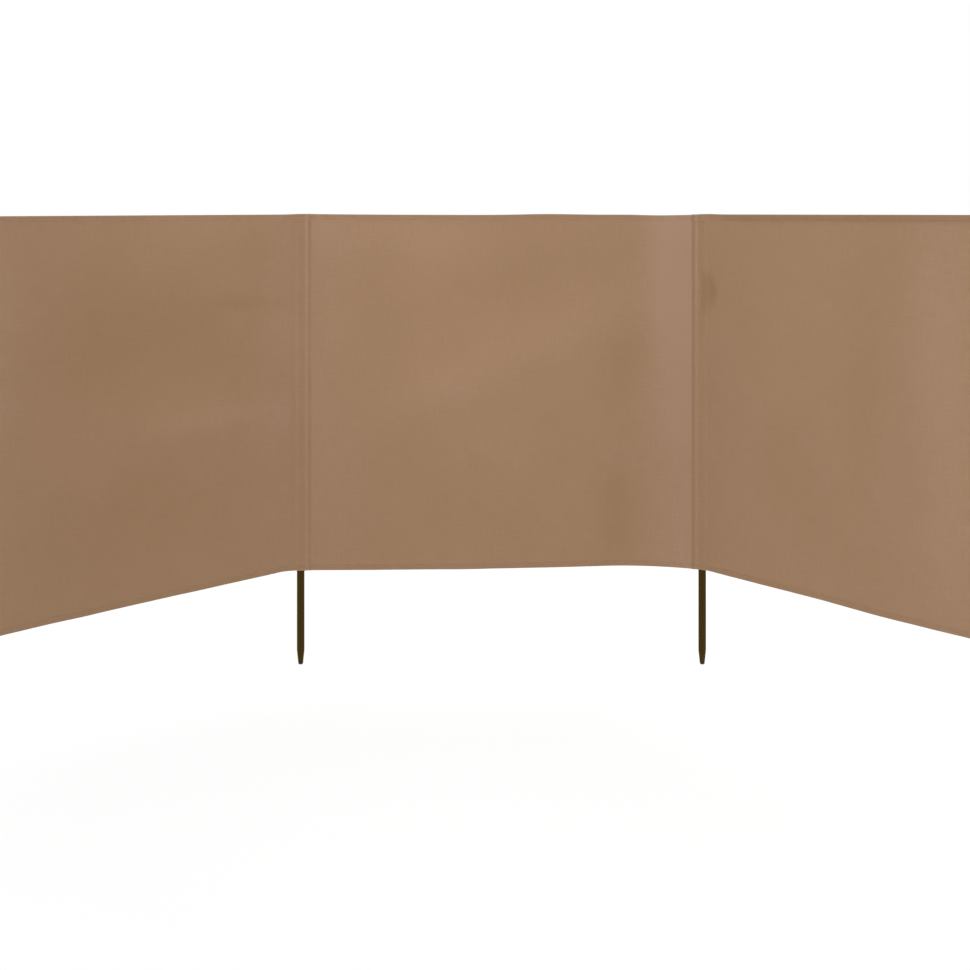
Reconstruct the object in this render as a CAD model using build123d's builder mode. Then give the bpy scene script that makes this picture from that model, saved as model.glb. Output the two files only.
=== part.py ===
"""Fabric windbreak: three bays of cloth on four steel poles that are driven into the ground.

Each bay hangs between two poles. Every pole stands in a sewn cloth tunnel that is closed at the top and
open at the bottom, and the two outer bays swing about the poles that they share with the middle bay.
The origin is the foot of the middle bay's left pole. +X runs along the middle bay, -Y is the sheltered
front, and +Z is up.
"""

import os
from math import cos, radians, sin

from build123d import *

os.makedirs("parts", exist_ok=True)

# Bays: millimetres from pole to pole, and degrees that an outer bay is turned towards the front
BAY_PITCH = 1340.0
LEFT_BAY_ANGLE = 43.0
RIGHT_BAY_ANGLE = 49.0

# Cloth
CLOTH_HEIGHT = 1190.0
CLOTH_THICKNESS = 1.0
HEM_HEIGHT = 20.0
HEM_LAYERS = 3
SEAM_LAYERS = 2
SEAM_REACH = 30.0  # from a pole's axis to the stitched seam beside it
TUNNEL_EASE = 0.3  # between the pole and the cloth round it
HINGE_GAP = 0.3  # between a tunnel and the bay that swings about it
FOLD_ROUND_SHARE = 0.4  # of the hem's thickness, at the folded edge

# Poles
POLE_DIAMETER = 25.0
POLE_WALL = 1.2
GROUND_LENGTH = 312.0  # the part of the pole below the cloth
TAPER_LENGTH = 38.0
TAPER_END_DIAMETER = 17.0
SHOULDER_ROUND = 60.0  # the swaged shoulder, where the taper starts

# Plug that closes the tapered end of a pole
NOSE_LENGTH = 9.0
NOSE_DIAMETER = 15.0
NOSE_CHAMFER = 2.5
STEM_LENGTH = 18.0
STEM_EASE = 0.1

# Sizes that follow from those above
hem_thickness = HEM_LAYERS * CLOTH_THICKNESS
seam_thickness = SEAM_LAYERS * CLOTH_THICKNESS
pole_radius = POLE_DIAMETER / 2
taper_end_radius = TAPER_END_DIAMETER / 2
bore_radius = pole_radius + TUNNEL_EASE
tunnel_radius = bore_radius + CLOTH_THICKNESS
mouth_radius = tunnel_radius + CLOTH_THICKNESS
bore_height = CLOTH_HEIGHT - HEM_HEIGHT
pole_top = GROUND_LENGTH + bore_height - TUNNEL_EASE
shoulder_height = NOSE_LENGTH + TAPER_LENGTH

# Where the poles stand, and the way that each bay runs from its inner pole
UP = Vector(0, 0, 1)
middle_way = Vector(1, 0, 0)
left_way = Vector(-cos(radians(LEFT_BAY_ANGLE)), -sin(radians(LEFT_BAY_ANGLE)), 0)
right_way = Vector(cos(radians(RIGHT_BAY_ANGLE)), -sin(radians(RIGHT_BAY_ANGLE)), 0)
left_foot = Vector(0, 0, 0)
right_foot = left_foot + middle_way * BAY_PITCH
left_end_foot = left_foot + left_way * BAY_PITCH
right_end_foot = right_foot + right_way * BAY_PITCH


def save(part, name):
    """Labels a finished piece and writes it to its own file."""
    part.label = name
    export_step(part, f"parts/{name}.step")


def make_pole(name, foot):
    """A painted steel tube, swaged to a taper at its lower end."""
    profile_plane = Plane(origin=foot, x_dir=middle_way, z_dir=middle_way.cross(UP))
    with BuildPart() as pole:
        with BuildSketch(profile_plane):
            with BuildLine():
                outside = FilletPolyline(
                    (pole_radius, pole_top),
                    (pole_radius, shoulder_height),
                    (taper_end_radius, NOSE_LENGTH),
                    radius=SHOULDER_ROUND,
                )
                inside = FilletPolyline(
                    (pole_radius - POLE_WALL, pole_top),
                    (pole_radius - POLE_WALL, shoulder_height),
                    (taper_end_radius - POLE_WALL, NOSE_LENGTH),
                    radius=SHOULDER_ROUND,
                )
                Line(outside @ 0, inside @ 0)
                Line(outside @ 1, inside @ 1)
            make_face()
        revolve(axis=Axis(foot, UP))
    save(pole.part, name)


def make_plug(name, foot):
    """The blunt plastic plug in a pole's tapered end: a bevelled nose and a stem inside the tube."""
    profile_plane = Plane(origin=foot, x_dir=middle_way, z_dir=middle_way.cross(UP))
    stem_radius = taper_end_radius - POLE_WALL - STEM_EASE
    with BuildPart() as plug:
        with BuildSketch(profile_plane):
            with BuildLine():
                Polyline(
                    (0, 0),
                    (NOSE_DIAMETER / 2, 0),
                    (taper_end_radius, NOSE_LENGTH),
                    (stem_radius, NOSE_LENGTH),
                    (stem_radius, NOSE_LENGTH + STEM_LENGTH),
                    (0, NOSE_LENGTH + STEM_LENGTH),
                    close=True,
                )
            make_face()
        revolve(axis=Axis(foot, UP))
        chamfer(plug.edges().filter_by(GeomType.CIRCLE).sort_by(Axis.Z)[0], NOSE_CHAMFER)
    save(plug.part, name)


def make_tunnel(name, foot, bay_way):
    """The sewn tunnel round a pole, with the seam flange that a bay's cloth runs from.

    The tube is hemmed at its open mouth, and above the pole its top is pinched flat and sewn shut.
    """
    mouth = Plane(origin=foot + UP * GROUND_LENGTH, x_dir=bay_way, z_dir=UP)
    across = Plane(origin=mouth.origin, x_dir=UP.cross(bay_way), z_dir=bay_way)
    flange_align = (Align.MIN, Align.CENTER)
    with BuildPart() as tunnel:
        with BuildSketch(mouth):
            Circle(tunnel_radius)
            Rectangle(SEAM_REACH, seam_thickness, align=flange_align)
        extrude(amount=CLOTH_HEIGHT)
        with BuildSketch(mouth):
            Circle(mouth_radius)
            Rectangle(SEAM_REACH, hem_thickness, align=flange_align)
        extrude(amount=HEM_HEIGHT)
        with BuildSketch(mouth.offset(bore_height)):
            Rectangle(SEAM_REACH, hem_thickness, align=flange_align)
        extrude(amount=HEM_HEIGHT)
        with BuildSketch(mouth):
            Circle(bore_radius)
        extrude(amount=bore_height, mode=Mode.SUBTRACT)
        with BuildSketch(across):
            with BuildLine():
                Polyline(
                    (-mouth_radius, 0),
                    (mouth_radius, 0),
                    (mouth_radius, bore_height),
                    (hem_thickness / 2, CLOTH_HEIGHT),
                    (-hem_thickness / 2, CLOTH_HEIGHT),
                    (-mouth_radius, bore_height),
                    close=True,
                )
            make_face()
        extrude(amount=SEAM_REACH, both=True, mode=Mode.INTERSECT)
    save(tunnel.part, name)


def make_sheet_plane(foot, bay_way):
    """The upright plane of a bay's cloth: its X runs along the bay, and its Y up from the lower edge."""
    return Plane(origin=foot + UP * GROUND_LENGTH, x_dir=bay_way, z_dir=bay_way.cross(UP))


def make_panel(name, sheet_plane, start, end):
    """A bay's flat cloth between its two hems. The edge beside a swinging hinge is doubled."""
    panel_height = CLOTH_HEIGHT - 2 * HEM_HEIGHT
    corner_align = (Align.MIN, Align.MIN)
    with BuildPart() as panel:
        with BuildSketch(sheet_plane):
            with Locations((start, HEM_HEIGHT)):
                Rectangle(end - start, panel_height, align=corner_align)
        extrude(amount=CLOTH_THICKNESS / 2, both=True)
        if start < SEAM_REACH:
            with BuildSketch(sheet_plane):
                with Locations((start, HEM_HEIGHT)):
                    Rectangle(SEAM_REACH - start, panel_height, align=corner_align)
            extrude(amount=seam_thickness / 2, both=True)
    save(panel.part, name)


def make_hem(name, sheet_plane, start, end, lower_edge, fold_at_top):
    """A folded and stitched hem, rounded along its folded edge."""
    with BuildPart() as hem:
        with BuildSketch(sheet_plane):
            with Locations((start, lower_edge)):
                Rectangle(end - start, HEM_HEIGHT, align=(Align.MIN, Align.MIN))
        extrude(amount=hem_thickness / 2, both=True)
        level_edges = hem.edges().filter_by(Axis(sheet_plane.origin, sheet_plane.x_dir))
        folded_edges = level_edges.group_by(Axis.Z)[-1 if fold_at_top else 0]
        fillet(folded_edges, FOLD_ROUND_SHARE * hem_thickness)
    save(hem.part, name)


# Poles, with the plugs in their ends and the tunnels round them. A tunnel's flange faces its own bay.
for pole_name, foot, bay_way in (
    ("left_end_pole", left_end_foot, -left_way),
    ("left_pole", left_foot, middle_way),
    ("right_pole", right_foot, -middle_way),
    ("right_end_pole", right_end_foot, -right_way),
):
    make_pole(pole_name, foot)
    make_plug(f"{pole_name}_plug", foot)
    make_tunnel(f"{pole_name}_tunnel", foot, bay_way)

# Bays. The middle one runs from seam to seam, and an outer one from its hinge to its end pole's seam.
far_seam = BAY_PITCH - SEAM_REACH
for bay_name, foot, bay_way, swings in (
    ("left", left_foot, left_way, True),
    ("middle", left_foot, middle_way, False),
    ("right", right_foot, right_way, True),
):
    sheet_plane = make_sheet_plane(foot, bay_way)
    panel_start = tunnel_radius + HINGE_GAP if swings else SEAM_REACH
    mouth_start = mouth_radius + HINGE_GAP if swings else SEAM_REACH
    make_panel(f"{bay_name}_panel", sheet_plane, panel_start, far_seam)
    make_hem(f"{bay_name}_top_hem", sheet_plane, panel_start, far_seam, bore_height, True)
    make_hem(f"{bay_name}_bottom_hem", sheet_plane, mouth_start, far_seam, 0, False)
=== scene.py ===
import math

import bpy
import numpy as np
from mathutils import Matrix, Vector


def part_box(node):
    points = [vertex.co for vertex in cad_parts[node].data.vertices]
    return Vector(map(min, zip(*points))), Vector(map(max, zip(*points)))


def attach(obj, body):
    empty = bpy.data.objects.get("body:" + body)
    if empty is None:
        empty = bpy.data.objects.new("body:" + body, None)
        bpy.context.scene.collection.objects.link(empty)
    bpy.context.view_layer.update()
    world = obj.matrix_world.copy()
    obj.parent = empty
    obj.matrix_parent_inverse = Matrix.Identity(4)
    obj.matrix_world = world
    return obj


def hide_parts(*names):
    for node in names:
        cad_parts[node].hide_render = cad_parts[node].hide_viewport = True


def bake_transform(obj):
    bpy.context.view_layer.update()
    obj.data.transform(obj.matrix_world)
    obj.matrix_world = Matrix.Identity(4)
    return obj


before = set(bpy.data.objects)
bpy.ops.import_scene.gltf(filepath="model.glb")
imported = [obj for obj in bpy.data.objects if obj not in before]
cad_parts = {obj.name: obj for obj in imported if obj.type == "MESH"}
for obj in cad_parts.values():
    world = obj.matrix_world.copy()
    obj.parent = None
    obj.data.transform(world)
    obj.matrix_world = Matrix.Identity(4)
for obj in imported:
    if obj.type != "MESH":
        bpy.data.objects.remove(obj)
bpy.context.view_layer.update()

# Viewpoint
# The windbreak is seen square on to its middle bay by a level camera at the height of the cloth's top edge.
# The view is cut low with a vertical shift, so the poles stay upright in the picture.
PICTURE_SIDE = 970  # pixels
LEFT_POLE_COLUMN = 300.7
RIGHT_POLE_COLUMN = 702.2
HORIZON_ROW = 213.9
CAMERA_DISTANCE = 4.5  # metres from the middle bay
SENSOR_WIDTH = 36.0  # millimetres


def pole_foot(pole):
    """The point on the ground at a pole's axis."""
    low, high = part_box(pole)
    return np.array([(low.x + high.x) / 2, (low.y + high.y) / 2])


left_foot = pole_foot("left_pole")
right_foot = pole_foot("right_pole")
cloth_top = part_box("middle_top_hem")[1].z
bay_pitch = right_foot[0] - left_foot[0]
pixels_per_metre = (RIGHT_POLE_COLUMN - LEFT_POLE_COLUMN) / bay_pitch

camera_data = bpy.data.cameras.new("viewpoint")
camera_data.sensor_width = SENSOR_WIDTH
camera_data.lens = SENSOR_WIDTH * pixels_per_metre * CAMERA_DISTANCE / PICTURE_SIDE
camera_data.shift_y = HORIZON_ROW / PICTURE_SIDE - 0.5
camera = bpy.data.objects.new("viewpoint", camera_data)
camera.location = (
    left_foot[0] + (PICTURE_SIDE / 2 - LEFT_POLE_COLUMN) / pixels_per_metre,
    left_foot[1] - CAMERA_DISTANCE,
    cloth_top,
)
camera.rotation_euler = (math.pi / 2, 0, 0)
bpy.context.scene.collection.objects.link(camera)
bpy.context.scene.camera = camera

# Poles
# Steel tube, swaged to a taper at the lower end and powder coated dark brown before the plugs go in.
# The coat has a fine orange peel, and it is scuffed where the tapered end has been pushed into the ground.
POLE_BROWN = (0.048, 0.0255, 0.003, 1)
POLE_SCUFFED = (0.074, 0.055, 0.032, 1)
SCUFF_HEIGHT = 0.11  # metres up from the foot
SCUFF_STRENGTH = 0.7
SCRATCH_SIZE = 0.0025
PATCH_SIZE = 0.02  # of the coat's uneven gloss
PEEL_SIZE = 0.0011
PEEL_DEPTH = 0.00006
COAT_ROUGHNESS = 0.5
COAT_SPECULAR = 0.06


class Shade:
    """A shader socket that can stand in a formula: each operator on it adds one Math node."""

    def __init__(self, tree, socket=None):
        self.tree = tree
        self.socket = socket

    def node(self, kind, settings=None, inputs=None, output=None):
        """Adds a node, sets it, feeds its sockets by name or place, and gives one of its outputs."""
        made = self.tree.nodes.new(kind)
        for name, value in (settings or {}).items():
            setattr(made, name, value)
        for name, value in (inputs or {}).items():
            if isinstance(name, int):
                target = made.inputs[name]
            else:
                target = next(socket for socket in made.inputs if socket.enabled and socket.name == name)
            if isinstance(value, Shade):
                self.tree.links.new(value.socket, target)
            else:
                target.default_value = value
        if output is None:
            return Shade(self.tree, next(socket for socket in made.outputs if socket.enabled))
        return Shade(self.tree, made.outputs[output])

    def into(self, shader, socket_name):
        """Links this result into a socket of a shader."""
        self.tree.links.new(self.socket, shader.inputs[socket_name])

    def math(self, operation, first, second=0.0):
        return self.node("ShaderNodeMath", {"operation": operation}, {0: first, 1: second})

    def __add__(self, other):
        return self.math("ADD", self, other)

    __radd__ = __add__

    def __sub__(self, other):
        return self.math("SUBTRACT", self, other)

    def __rsub__(self, other):
        return self.math("SUBTRACT", other, self)

    def __mul__(self, other):
        return self.math("MULTIPLY", self, other)

    __rmul__ = __mul__

    def noise(self, place, size, detail=2.0):
        """Soft noise with features of that size, in metres."""
        return self.node("ShaderNodeTexNoise", inputs={"Vector": place, "Scale": 1 / size, "Detail": detail})

    def step(self, value, low, high):
        """0 below low and 1 above high, smooth between them, and the reverse where low is the larger."""
        return self.node(
            "ShaderNodeMapRange",
            {"interpolation_type": "SMOOTHSTEP"},
            {"Value": value, "From Min": low, "From Max": high},
        )

    def mix(self, share, first, second):
        """A colour between two others."""
        return self.node("ShaderNodeMix", {"data_type": "RGBA"}, {"Factor": share, "A": first, "B": second})


def new_finish(name):
    """A material with a Principled shader, and a formula handle on its nodes."""
    material = bpy.data.materials.new(name)
    material.use_nodes = True
    tree = material.node_tree
    return material, Shade(tree), tree.nodes["Principled BSDF"]


pole_coat, shade, coat_shader = new_finish("pole_coat")
where = shade.node("ShaderNodeTexCoord", output="Object")
height = shade.node("ShaderNodeSeparateXYZ", inputs={"Vector": where}, output="Z")
peel = shade.noise(where, PEEL_SIZE)
patches = shade.noise(where, PATCH_SIZE, 3.0)
scratches = shade.noise(where, SCRATCH_SIZE, 5.0)
scratched = shade.step(scratches * 0.7 + patches * 0.3, 0.52, 0.64)
scuffed = scratched * shade.step(height, SCUFF_HEIGHT, 0.0) * SCUFF_STRENGTH
shade.mix(scuffed, POLE_BROWN, POLE_SCUFFED).into(coat_shader, "Base Color")
(COAT_ROUGHNESS + patches * 0.12 + scuffed * 0.2).into(coat_shader, "Roughness")
coat_shader.inputs["Specular IOR Level"].default_value = COAT_SPECULAR
coat_relief = {"Strength": 0.5, "Distance": PEEL_DEPTH, "Height": peel - scuffed}
shade.node("ShaderNodeBump", inputs=coat_relief).into(coat_shader, "Normal")

POLES = ("left_end_pole", "left_pole", "right_pole", "right_end_pole")
for pole in POLES:
    pole_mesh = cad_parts[pole].data
    pole_mesh.materials.clear()
    pole_mesh.materials.append(pole_coat)

# Pole plugs
# Blunt black plugs of moulded plastic, pressed into the tapered ends by their stems.
# The moulding is matt, and its nose is dulled by sand.
PLUG_BLACK = (0.020, 0.019, 0.017, 1)
PLUG_DULLED = (0.050, 0.047, 0.041, 1)
DULLED_HEIGHT = 0.006
SAND_MARK_SIZE = 0.002
GRAIN_SIZE = 0.0006
GRAIN_DEPTH = 0.00005
PLUG_ROUGHNESS = 0.55
PLUG_SPECULAR = 0.25

plug_plastic, shade, plug_shader = new_finish("plug_plastic")
where = shade.node("ShaderNodeTexCoord", output="Object")
height = shade.node("ShaderNodeSeparateXYZ", inputs={"Vector": where}, output="Z")
grain = shade.noise(where, GRAIN_SIZE)
sand_marks = shade.step(shade.noise(where, SAND_MARK_SIZE, 4.0), 0.4, 0.62)
dulled_and_shaded = shade.step(height, DULLED_HEIGHT, 0.0) * sand_marks
shade.mix(dulled_and_shaded, PLUG_BLACK, PLUG_DULLED).into(plug_shader, "Base Color")
(PLUG_ROUGHNESS + grain * 0.1 + dulled_and_shaded * 0.2).into(plug_shader, "Roughness")
plug_shader.inputs["Specular IOR Level"].default_value = PLUG_SPECULAR
plug_relief = {"Strength": 0.6, "Distance": GRAIN_DEPTH, "Height": grain}
shade.node("ShaderNodeBump", inputs=plug_relief).into(plug_shader, "Normal")
for pole in POLES:
    plug_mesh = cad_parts[f"{pole}_plug"].data
    plug_mesh.materials.clear()
    plug_mesh.materials.append(plug_plastic)

# Middle bay
# Plain-woven taupe polyester, dyed in the yarn, with its upper and lower edges turned to the back as hems and
# double stitched. It hangs a little in front of the two inner poles' axes, and its sides end under the seams
# beside them.
CLOTH_TAUPE = (0.345, 0.211, 0.1235, 1)
CLOTH_DARK = (0.270, 0.158, 0.076, 1)
CLOTH_PALE = (0.405, 0.257, 0.174, 1)
LIGHT_THROUGH = (0.90, 0.70, 0.52, 1)
LIGHT_PASSED = 0.10
CLOTH_ROUGHNESS = 0.82
CLOTH_SPECULAR = 0.2
CLOTH_SHEEN = 0.1
SHEEN_ROUGHNESS = 0.5
THREAD_PITCH = 0.0009  # of the weave
WEAVE_DEPTH = 0.00012
SLUB_LENGTH = 0.06
SLUB_WIDTH = 0.0016
CLOUD_SIZE = 0.3
BASE_TONE = 0.19  # brings the mean of the tone to a half
SLUB_TONE = 0.5
CLOUD_TONE = 0.12
PAINTED_SHADING_TONE = 0.2
DARK_TONES = (0.52, 0.3)  # where the dark colour starts, and where it is all there
DARK_STRENGTH = 0.6
PALE_TONES = (0.48, 0.7)
PALE_STRENGTH = 0.85
FOLD_PAINTED_SHADE = 40.0  # painted shade for each metre that a fold stands out: crests are painted paler than hollows
# painted light towards the middle bay's left pole, and towards the top of its right one
LEFT_SIDE_PAINTED_LIGHT = 0.25
RIGHT_SIDE_PAINTED_LIGHT = 1.2
BACK_PAINTED_SHARE = 0.3  # of the front's painted light and shade, on the cloth's back
STITCH_BROWN = (0.200, 0.115, 0.066, 1)
STITCH_LIGHT = (0.265, 0.158, 0.094, 1)
STITCH_PITCH = 0.0042
STITCH_LENGTH = 0.0035
STITCH_HALF_WIDTH = 0.00042
STITCH_HEIGHT = 0.00030
STITCH_SINK = 0.0005  # how far a row of stitches is drawn into the cloth
STITCH_DIP = 0.0018  # half the width of the dip along it
THREAD_SPECULAR = 0.25
FIBRE_SIZE = 0.0003
FIBRE_DEPTH = 0.00008
CLOTH_THICKNESS = 0.0004
LAYER_PITCH = 0.0005  # between the layers of a hem
HEM_TURN = 0.012  # what is turned under inside a hem
HEM_SWELL = 0.0003
HEM_SWELL_RISE = 0.004  # from the folded edge to where a hem's swell is full
HEM_SWELL_FALL = 0.006  # beyond the hem, to where the cloth is flat again
HEM_BACK_STEPS = 12  # rows of the mesh on a hem's back, and beside an edge on the front
HEM_FRONT_STEPS = 24
HEM_ROWS = (0.0085, 0.016)  # rows of stitches, from the folded edge
SEAM_ROWS = (-0.003, 0.003)  # rows of stitches, from the middle of a seam
LAP = 0.010  # width of a seam, where one cloth lies on the other
STAND_OFF = 0.005  # the cloth lies this far in front of the plane through the poles' axes
HELD_REACH = 0.24  # from a pole's seam to where the cloth is free to fold
FOLD_REACH = 0.42  # of a fold's length, on each side of its middle
HEM_FREE_REACH = 0.05  # from a pole's seam to where a hem is free to pucker
SLACK_RIPPLE = 0.0015
RIPPLE_PITCH = 0.21
RIPPLE_SLANT = 0.18
HEM_PUCKER = 0.0011
HEM_PUCKER_PITCH = 0.045
HEM_PUCKER_REACH = 0.025
SEAM_PUCKER = 0.0010
SEAM_PUCKER_PITCH = 0.034
SEAM_PUCKER_REACH = 0.020
FIELD_STEP = 0.0125  # the mesh in the open cloth
SEAM_STEP = 0.0015  # and at the seams
SEAM_ZONE = 0.016  # how far from an edge the mesh is that fine
NEAR_ZONE = 0.08  # and how far it is finer than in the open cloth
PLAN_STEP = 0.001  # how finely a plan is drawn before its corners are softened
PLAN_SOFTNESS = 0.0025
SHARP_ANGLE = math.radians(50)  # from which an edge of a mesh is shaded as a corner
EDGE_PULL_POWER = 3.0  # how fast a pull at a hem dies out across the cloth
MIDDLE_SLACK_SEED = 11
MIDDLE_HEM_SEED = 23
LEFT_SEAM_SEED = 21
RIGHT_SEAM_SEED = 22
LOWER_EDGE_AT_LEFT = 0.0023  # how far the lower edge is drawn up: at the poles, and between them
LOWER_EDGE_AT_RIGHT = 0.0060
LOWER_EDGE_BETWEEN = 0.0115
LOWER_EDGE_SKEW = 3.4  # puts the highest point towards the right pole
TOP_SAG = 0.0035
TOP_SAG_AT_RIGHT = 0.0022

middle_front = np.array([0.0, -1.0])
cloth_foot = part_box("middle_bottom_hem")[0].z
cloth_height = cloth_top - cloth_foot
hem_height = cloth_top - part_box("middle_top_hem")[0].z
seam_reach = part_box("middle_panel")[0].x - left_foot[0]
lap_start = seam_reach - LAP / 2
pole_low, pole_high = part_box("left_pole")
pole_radius = (pole_high.x - pole_low.x) / 2
tunnel_top = pole_high.z - cloth_foot

cloth_finish, shade, cloth_shader = new_finish("taupe_cloth")
flat_place = shade.node("ShaderNodeUVMap", {"uv_map": "flat_cloth"})
# The mesh attribute read here holds painted light and shade: paler fold crests, darker hollows, and painted
# highlights and shadows by the poles and seams.
painted_shading = shade.node("ShaderNodeAttribute", {"attribute_name": "painted_shading"}, output="Fac")
weft_way = shade.node("ShaderNodeSeparateXYZ", inputs={"Vector": flat_place}, output="X")
warp_way = shade.node("ShaderNodeSeparateXYZ", inputs={"Vector": flat_place}, output="Y")
weft_wave = shade.math("COSINE", weft_way * (math.pi / THREAD_PITCH))
warp_wave = shade.math("COSINE", warp_way * (math.pi / THREAD_PITCH))
over = 0.5 + weft_wave * warp_wave * 0.5
weave = over * (1 - weft_wave * weft_wave) + (1 - over) * (1 - warp_wave * warp_wave)
stretch = SLUB_LENGTH / SLUB_WIDTH
along_weft = shade.node("ShaderNodeMapping", inputs={"Vector": flat_place, "Scale": (1, stretch, 1)})
along_warp = shade.node("ShaderNodeMapping", inputs={"Vector": flat_place, "Scale": (stretch, 1, 1)})
slubs = shade.noise(along_weft, SLUB_LENGTH, 1.0) * 0.5 + shade.noise(along_warp, SLUB_LENGTH, 1.0) * 0.5
clouds = shade.noise(flat_place, CLOUD_SIZE, 3.0)
# The tone mixes the cloth's own slubs and clouds with the painted light and shade of the folds, seams and
# bays.
tone = BASE_TONE + slubs * SLUB_TONE + clouds * CLOUD_TONE + painted_shading * PAINTED_SHADING_TONE
darkened = shade.mix(shade.step(tone, *DARK_TONES) * DARK_STRENGTH, CLOTH_TAUPE, CLOTH_DARK)
toned = shade.mix(shade.step(tone, *PALE_TONES) * PALE_STRENGTH, darkened, CLOTH_PALE)
toned.into(cloth_shader, "Base Color")
(CLOTH_ROUGHNESS + slubs * 0.12).into(cloth_shader, "Roughness")
cloth_shader.inputs["Specular IOR Level"].default_value = CLOTH_SPECULAR
cloth_shader.inputs["Sheen Weight"].default_value = CLOTH_SHEEN
cloth_shader.inputs["Sheen Roughness"].default_value = SHEEN_ROUGHNESS
cloth_relief = {"Strength": 0.35, "Distance": WEAVE_DEPTH, "Height": weave + slubs * 0.5}
shade.node("ShaderNodeBump", inputs=cloth_relief).into(cloth_shader, "Normal")
passed = shade.node("ShaderNodeBsdfTranslucent", inputs={"Color": LIGHT_THROUGH})
returned = Shade(shade.tree, cloth_shader.outputs["BSDF"])
both_ways = shade.node("ShaderNodeMixShader", inputs={"Fac": LIGHT_PASSED, 1: returned, 2: passed})
both_ways.into(shade.tree.nodes["Material Output"], "Surface")

thread_finish, shade, thread_shader = new_finish("sewing_thread")
where = shade.node("ShaderNodeTexCoord", output="Object")
fibres = shade.noise(where, FIBRE_SIZE, 3.0)
shade.mix(fibres, STITCH_BROWN, STITCH_LIGHT).into(thread_shader, "Base Color")
(0.6 + fibres * 0.2).into(thread_shader, "Roughness")
thread_shader.inputs["Specular IOR Level"].default_value = THREAD_SPECULAR
thread_relief = {"Strength": 0.5, "Distance": FIBRE_DEPTH, "Height": fibres}
shade.node("ShaderNodeBump", inputs=thread_relief).into(thread_shader, "Normal")


def ease(value, low, high):
    """0 below low and 1 above high, smooth between them, and the reverse where low is the larger."""
    share = np.clip((value - low) / (high - low), 0.0, 1.0)
    return share * share * (3 - 2 * share)


def bump(value, centre, width):
    """A soft bump of height 1."""
    return np.exp(-(((value - centre) / width) ** 2))


def ripple(value, pitch, seed):
    """An uneven smooth wave between -1 and 1, with a crest about every pitch, the same in each run."""
    count = 1024
    heights = np.random.default_rng(seed).uniform(-1.0, 1.0, count)
    place = value / pitch * 2
    below = np.floor(place).astype(int)
    rise = ease(place - below, 0.0, 1.0)
    return heights[below % count] * (1 - rise) + heights[(below + 1) % count] * rise


def fold(u, v, start, end, width):
    """A soft ridge of height 1 along the line between two points of a bay, dying out at both ends."""
    line = np.array(end) - np.array(start)
    length = np.linalg.norm(line)
    line = line / length
    along = (u - start[0]) * line[0] + (v - start[1]) * line[1]
    across = (v - start[1]) * line[0] - (u - start[0]) * line[1]
    return np.exp(-(((along / length - 0.5) / FOLD_REACH) ** 4)) * bump(across, 0.0, width)


def hem_band(up):
    """1 within the hems, and 0 in the open cloth."""
    from_edge = np.minimum(up, cloth_height - up)
    return ease(from_edge, 1.5 * hem_height, hem_height)


def hem_puckers(along, up, seed):
    """The small puckers beside the stitching of the hems."""
    from_upper = np.abs(cloth_height - hem_height - up)
    from_lower = np.abs(hem_height - up)
    upper = np.exp(-from_upper / HEM_PUCKER_REACH) * ripple(along, HEM_PUCKER_PITCH, seed)
    lower = np.exp(-from_lower / HEM_PUCKER_REACH) * ripple(along, HEM_PUCKER_PITCH, seed + 1)
    return HEM_PUCKER * (upper + lower)


def seam_puckers(beyond, up, seed):
    """The small puckers that a seam draws in beside it. beyond is the distance from the seam's middle."""
    return SEAM_PUCKER * ripple(up, SEAM_PUCKER_PITCH, seed) * np.exp(-np.abs(beyond) / SEAM_PUCKER_REACH)


def seam_dips(beyond):
    """The dips along a seam's rows of stitches."""
    return STITCH_SINK * sum(bump(beyond, row, STITCH_DIP) for row in SEAM_ROWS)


def drawn(points):
    """A plan's line through these points, finely divided, with the distance along it."""
    points = np.array(points)
    lengths = np.concatenate([[0.0], np.cumsum(np.linalg.norm(np.diff(points, axis=0), axis=1))])
    along = np.linspace(0.0, lengths[-1], int(lengths[-1] / PLAN_STEP) + 2)
    return along, np.stack([np.interp(along, lengths, points[:, axis]) for axis in (0, 1)], axis=1)


def softened(line):
    """A finely divided line with its corners rounded, as cloth rounds them, and its two ends kept."""
    reach = int(3 * PLAN_SOFTNESS / PLAN_STEP)
    weights = np.exp(-0.5 * (np.arange(-reach, reach + 1) * PLAN_STEP / PLAN_SOFTNESS) ** 2)
    weights = weights / weights.sum()
    before = 2 * line[0] - line[reach:0:-1]
    after = 2 * line[-1] - line[-2:-reach - 2:-1]
    padded = np.concatenate([before, line, after])
    return np.stack([np.convolve(padded[:, axis], weights, "valid") for axis in (0, 1)], axis=1)


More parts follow.
